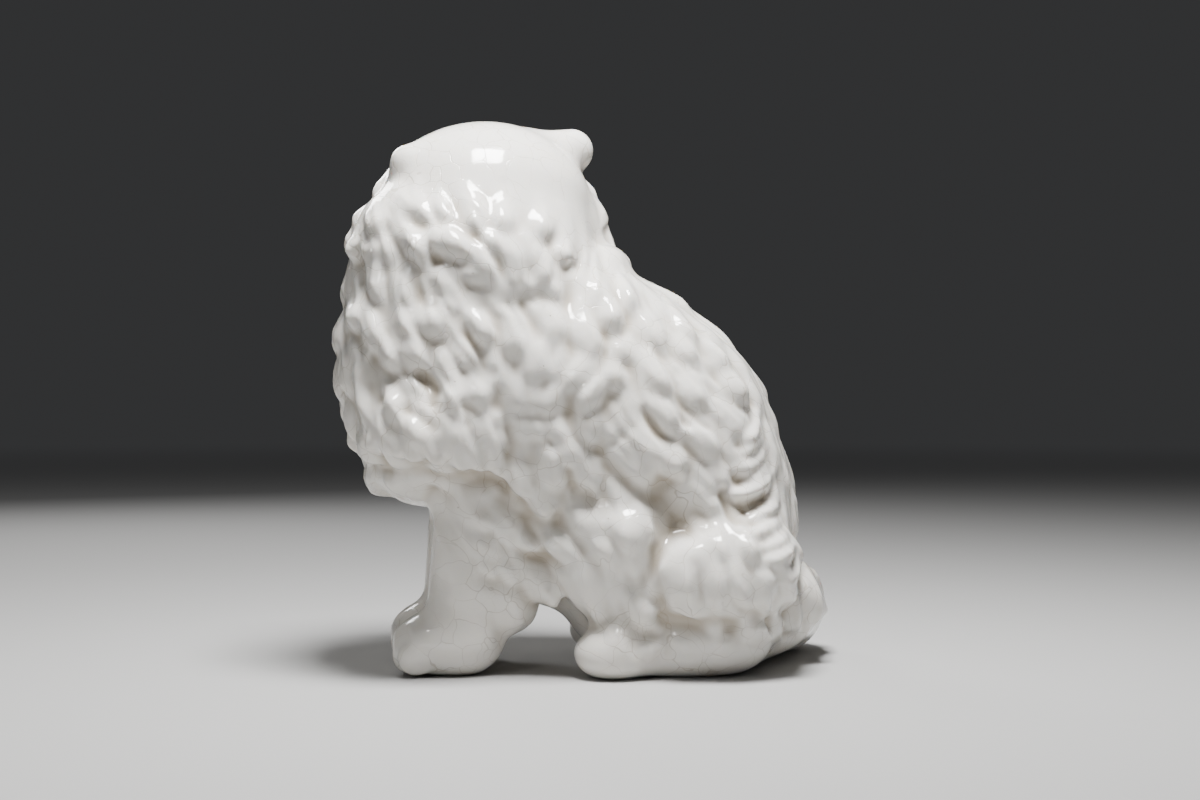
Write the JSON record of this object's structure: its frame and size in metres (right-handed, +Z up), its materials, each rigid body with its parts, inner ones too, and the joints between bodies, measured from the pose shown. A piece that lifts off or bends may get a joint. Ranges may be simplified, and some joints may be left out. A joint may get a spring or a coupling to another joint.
{
  "type": "cat figurine",
  "caption": "Seated long-haired cat in white glazed earthenware, head turned over its right shoulder and tail laid along its far side, resting on its flat base and paws.",
  "frame": {"origin": "middle of the overall box, on the table plane under the figure", "axes": "+Z up; the cat's chest faces -Y and its left flank +X; the head looks towards -X and a little to -Y"},
  "size_m": [0.099, 0.1408, 0.1497],
  "materials": {
    "white_glaze": "clear high gloss over a cream-white body, finely crazed"
  },
  "bodies": {
    "root": {"cat": "white_glaze"}
  },
  "joints": []
}
